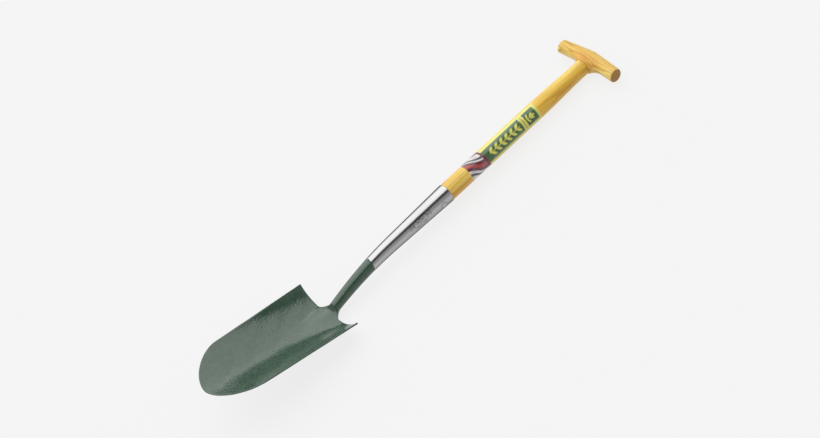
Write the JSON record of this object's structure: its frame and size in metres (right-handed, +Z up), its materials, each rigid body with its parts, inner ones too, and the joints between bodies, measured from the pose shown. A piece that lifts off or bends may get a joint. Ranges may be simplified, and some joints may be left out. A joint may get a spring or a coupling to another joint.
{
  "type": "garden spade",
  "caption": "T-handled garden spade: long gutter-shaped blade with a rounded nose, forged in one with a cranked neck and socket, on an ash shaft with printed labels.",
  "frame": {"origin": "on the floor, under the middle of the spade's bounding box, with the spade lying on its back", "axes": "+Y towards the grip, +X across the blade to the right seen from above, +Z up out of the blade's hollow face"},
  "size_m": [0.1716, 1.0442, 0.0985],
  "materials": {
    "green_paint": "glossy dark green hammered enamel",
    "polished_steel": "polished, with fine marks along the socket",
    "shaft_wood": "satin clear lacquer on golden ash, grain along the shaft",
    "grip_wood": "satin clear lacquer on golden ash, grain along the grip",
    "wedge_wood": "darker hardwood, end grain showing",
    "band_film": "glossy printed film",
    "label_film": "glossy printed film"
  },
  "bodies": {
    "root": {"forged_head": "green_paint", "ash_shaft": "shaft_wood", "t_grip": "grip_wood", "grip_wedge": "wedge_wood", "socket_rivet": "polished_steel", "striped_band": "band_film", "main_label": "label_film"}
  },
  "joints": []
}
